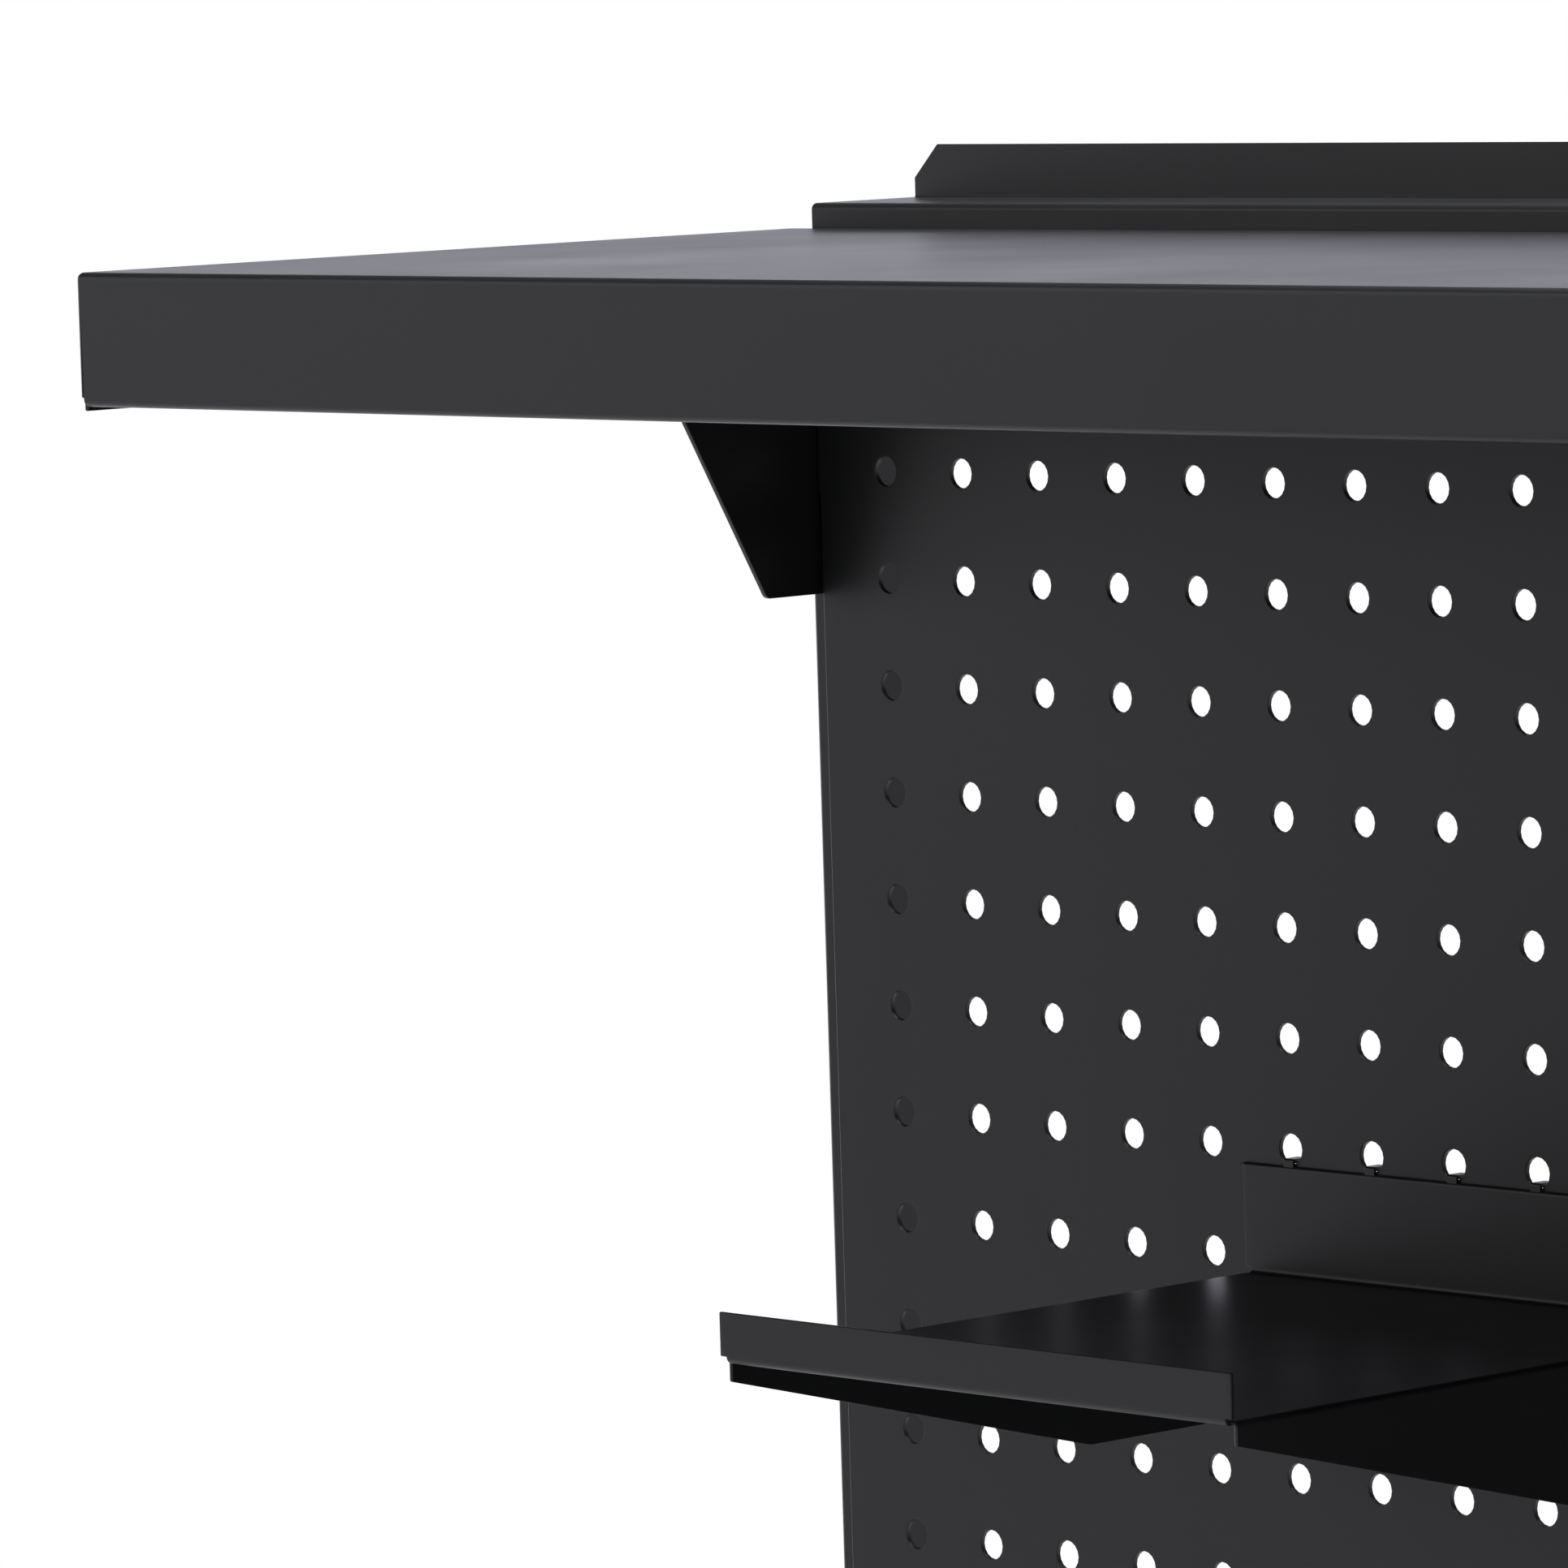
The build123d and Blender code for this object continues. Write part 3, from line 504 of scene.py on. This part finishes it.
# ---- shelf brackets ------------------------------------------------------------------
def shelf_bracket(node, name):
    """A tapered plate with two hooks that drop into the upright's slots."""
    low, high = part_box(node)
    wall_back = board_high.y + UPRIGHT_WALL + HOOK_PLAY
    rear = board_high.y - HAIR
    bottom = low.z
    heel_y = board_low.y - BRACKET_HEEL
    outline = closed_rounded(
        [(rear, bottom), (heel_y, bottom),
         (heel_y - BRACKET_KNEE / BRACKET_STEEPNESS, bottom + BRACKET_KNEE),
         (low.y, bottom + BRACKET_TIP), (low.y, high.z), (rear, high.z)], BRACKET_RADII)
    for height in reversed(HOOK_HEIGHTS):
        z = bottom + height
        outline += [Vector(p) for p in (
            (rear, z + HOOK_NECK), (wall_back + HOOK_LEG, z + HOOK_NECK),
            (wall_back + HOOK_LEG, z - HOOK_DROP), (wall_back, z - HOOK_DROP),
            (wall_back, z), (rear, z))]
    bm = bmesh.new()
    prism(bm, outline, lambda a, b, end: (high.x if end else low.x, a, b))
    soften_cuts(bm, EDGE)
    piece(bm, name, "shelf_brackets", [node])


# ---- hang-on tray --------------------------------------------------------------------
def hang_tray():
    """A shallow tray: lip, surface and back flange in one fold, with gussets at its sides."""
    low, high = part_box("hang_tray")
    middle = (low.x + high.x) / 2
    half = (high.x - low.x) / 2
    hole_z = high.z + TRAY_HOOK_TOP
    top = hole_z - TRAY_DROP
    under = top - TRAY_SHEET
    flange_top = top + TRAY_FLANGE
    front, back = low.y, board_low.y - HAIR
    gusset = half - TRAY_INSET - TRAY_SHEET      # inner face of a gusset
    surface = gusset - TRAY_SIDE_BEND            # where the surface starts to fold down
    bm = bmesh.new()
    known = {}

    # the back of the flange, the underside and the front of the lip; the folds are
    # narrower than the lip and the flange, with a relief at each end
    spine = rounded([(back, flange_top), (back, under), (front, under),
                     (front, top + TRAY_LIP)], [TRAY_BACK_BEND, TRAY_FRONT_BEND])
    crest = [(back, flange_top - TRAY_FLANGE_NOSE * (1 - math.sin(angle))) for angle in
             (math.pi / 2 * (ARC_STEPS - i) / ARC_STEPS for i in range(ARC_STEPS + 1))]
    start, end = front + GUSSET_START, back - TRAY_BACK_BEND
    flange_foot, lip_foot = spine[1], spine[-2]
    folds = sorted(spine[1:-1] + [Vector((start, under))], key=lambda point: -point[0])
    edges = [middle - half, middle - surface, middle + surface, middle + half]
    for low_x, high_x in zip(edges, edges[1:]):
        strip(bm, known, crest + [flange_foot], low_x, high_x)
        strip(bm, known, [lip_foot, spine[-1]], low_x, high_x)
    strip(bm, known, folds, edges[1], edges[2])

    # side folds and gussets
    arc = [math.pi / 2 * i / ARC_STEPS for i in range(ARC_STEPS + 1)]
    for side in (-1, 1):
        fold = [(middle + side * (surface + TRAY_SIDE_BEND * math.sin(a)),
                 under - TRAY_SIDE_BEND + TRAY_SIDE_BEND * math.cos(a)) for a in arc]
        for (x0, z0), (x1, z1) in zip(fold, fold[1:]):
            corners = [(x0, start, z0), (x1, start, z1), (x1, end, z1), (x0, end, z0)]
            face(bm, known, corners if side < 0 else corners[::-1])
        x, z = fold[-1]
        corners = [(x, start, z), (x, start, top - GUSSET_FRONT),
                   (x, board_low.y - GUSSET_LEVEL, top - GUSSET_DEPTH),
                   (x, back, top - GUSSET_DEPTH), (x, back, z), (x, end, z)]
        face(bm, known, corners if side < 0 else corners[::-1])

    # the sheet thins over the flange's rounded top edge
    shares = bm.verts.layers.deform.verify()
    for vert in bm.verts:
        rise = max(0.0, vert.co.z - flange_top + TRAY_FLANGE_NOSE) / TRAY_FLANGE_NOSE
        loss = 1 - math.sqrt(max(0.0, 1 - rise * rise))
        vert[shares][0] = 1 - loss * TRAY_FLANGE_NOSE / TRAY_SHEET
    piece(bm, "hang_tray_sheet", "tray", ["hang_tray"], TRAY_SHEET)
    tray_hooks(middle, flange_top, hole_z - TRAY_HOOK_TOP, back, high.y)


def tray_hooks(middle, foot, hook_top, back, hook_back):
    """Hooks that pass over the flange through the holes and turn down behind the board."""
    root = back - TRAY_SHEET + EDGE
    outline = closed_rounded(
        [(root, foot - TRAY_SHEET), (root, hook_top), (hook_back, hook_top),
         (hook_back, hook_top - TRAY_HOOK_H), (hook_back - TRAY_SHEET, hook_top - TRAY_HOOK_H),
         (hook_back - TRAY_SHEET, hook_top - TRAY_SHEET), (back, hook_top - TRAY_SHEET),
         (back, foot - TRAY_SHEET)],
        [0, TRAY_HOOK_BEND, TRAY_HOOK_BEND, 0, 0, 0, 0, 0])
    bm = bmesh.new()
    for i in range(TRAY_HOOKS):
        low_x = middle + (i - (TRAY_HOOKS - 1) / 2) * PEG_PITCH - TRAY_HOOK_W / 2
        prism(bm, outline, lambda a, b, end: (low_x + end * TRAY_HOOK_W, a, b))
    soften_cuts(bm, TRAY_HOOK_EDGE)
    piece(bm, "tray_hooks", "tray", ["hang_tray"])


# ---- CAD nodes -----------------------------------------------------------------------
def coat_nodes():
    """Give every CAD node its finish, and round the cut edges of the coated ones that stay."""
    slot_of = {part["node"]: part["material_slot"] for part in frame["record"]["subparts"]}
    for name, node in frame["nodes"].items():
        node.data.materials.clear()
        node.data.materials.append(BY_SLOT[slot_of[name]])
        if slot_of[name] == "black_powder_coat" and name not in REMADE:
            weld = node.modifiers.new("weld", "WELD")
            weld.merge_threshold = NEAR
            round_cuts(node)
            flat = node.modifiers.new("flat_faces", "WEIGHTED_NORMAL")
            flat.keep_sharp = True


# ---- studio --------------------------------------------------------------------------
def studio():
    """A white backdrop, and a surround that is brightest at the back left and dim overhead."""
    world = bpy.data.worlds.new("studio")
    bpy.context.scene.world = world
    world.use_nodes = True
    nodes, links = world.node_tree.nodes, world.node_tree.links
    direction = nodes.new("ShaderNodeTexCoord")
    parts = nodes.new("ShaderNodeSeparateXYZ")
    links.new(direction.outputs["Generated"], parts.inputs["Vector"])
    strength = nodes.new("ShaderNodeMath")
    strength.operation = "MULTIPLY"
    links.new(graded(nodes, links, parts.outputs["Z"], *CEILING), strength.inputs[0])
    toward = nodes.new("ShaderNodeVectorMath")
    toward.operation = "DOT_PRODUCT"
    toward.inputs[1].default_value = BRIGHT_SIDE
    links.new(direction.outputs["Generated"], toward.inputs[0])
    glow = graded(nodes, links, toward.outputs["Value"], *SIDE_GLOW)
    links.new(glow, strength.inputs[1])
    tint_range = (*SIDE_GLOW[:2], 0.0, 1.0)
    tint = blend(nodes, links, graded(nodes, links, toward.outputs["Value"], *tint_range),
                 PLAIN_TINT, GLOW_TINT)
    surround = nodes["Background"]
    links.new(tint, surround.inputs["Color"])
    links.new(strength.outputs["Value"], surround.inputs["Strength"])
    backdrop = nodes.new("ShaderNodeBackground")
    backdrop.inputs["Color"].default_value = (1.0, 1.0, 1.0, 1.0)
    mix = nodes.new("ShaderNodeMixShader")
    links.new(nodes.new("ShaderNodeLightPath").outputs["Is Camera Ray"], mix.inputs["Fac"])
    links.new(surround.outputs["Background"], mix.inputs[1])
    links.new(backdrop.outputs["Background"], mix.inputs[2])
    links.new(mix.outputs["Shader"], nodes["World Output"].inputs["Surface"])


def soft_box(name, place, aim, size, power):
    """A square soft light."""
    light = bpy.data.lights.new(name, "AREA")
    light.shape = "SQUARE"
    light.size = size
    light.energy = power
    lamp = bpy.data.objects.new(name, light)
    lamp.location = place
    lamp.rotation_euler = (Vector(aim) - Vector(place)).to_track_quat("-Z", "Y").to_euler()
    lamp.visible_camera = False
    bpy.context.scene.collection.objects.link(lamp)


def floor():
    """A round pale floor that fades into the surround."""
    bm = bmesh.new()
    bmesh.ops.create_circle(bm, cap_ends=True, segments=96, radius=FLOOR_RADIUS)
    mesh = bpy.data.meshes.new("floor")
    bm.to_mesh(mesh)
    bm.free()
    disc = bpy.data.objects.new("floor", mesh)
    bpy.context.scene.collection.objects.link(disc)
    material, nodes, links, shader, coordinates = new_material("pale_floor")
    shader.inputs["Base Color"].default_value = (0.86, 0.86, 0.87, 1.0)
    shader.inputs["Roughness"].default_value = 0.75
    reach = nodes.new("ShaderNodeVectorMath")
    reach.operation = "LENGTH"
    links.new(coordinates.outputs["Object"], reach.inputs[0])
    fade = graded(nodes, links, reach.outputs["Value"], *FLOOR_FADE, 0.0, 1.0)
    clear = nodes.new("ShaderNodeBsdfTransparent")
    mix = nodes.new("ShaderNodeMixShader")
    links.new(fade, mix.inputs["Fac"])
    links.new(shader.outputs["BSDF"], mix.inputs[1])
    links.new(clear.outputs["BSDF"], mix.inputs[2])
    links.new(mix.outputs["Shader"], nodes["Material Output"].inputs["Surface"])
    mesh.materials.append(material)


def camera():
    """The photograph's viewpoint: from the front right, a little above the top shelf."""
    lens = bpy.data.cameras.new("camera")
    lens.lens = FOCAL_LENGTH
    lens.sensor_width = SENSOR_WIDTH
    viewer = bpy.data.objects.new("camera", lens)
    viewer.location = VIEWPOINT
    viewer.rotation_euler = [math.radians(a) for a in VIEW_ANGLES]
    bpy.context.scene.collection.objects.link(viewer)
    bpy.context.scene.camera = viewer


# ---- the unit ------------------------------------------------------------------------
coat_nodes()
peg_panel()
top_rail()
shelf_pan("top_shelf_deck", "top_shelf_pan", "top_shelf")
shelf_pan("base_deck", "base_deck_pan", "base_shelf")
for side in ("left", "right"):
    shelf_bracket(f"{side}_shelf_bracket", f"{side}_bracket_plate")
hang_tray()

studio()
floor()
soft_box("overhead", *OVERHEAD)
soft_box("front_left", *FRONT_LEFT)
camera()
bpy.context.scene.view_settings.view_transform = "Standard"
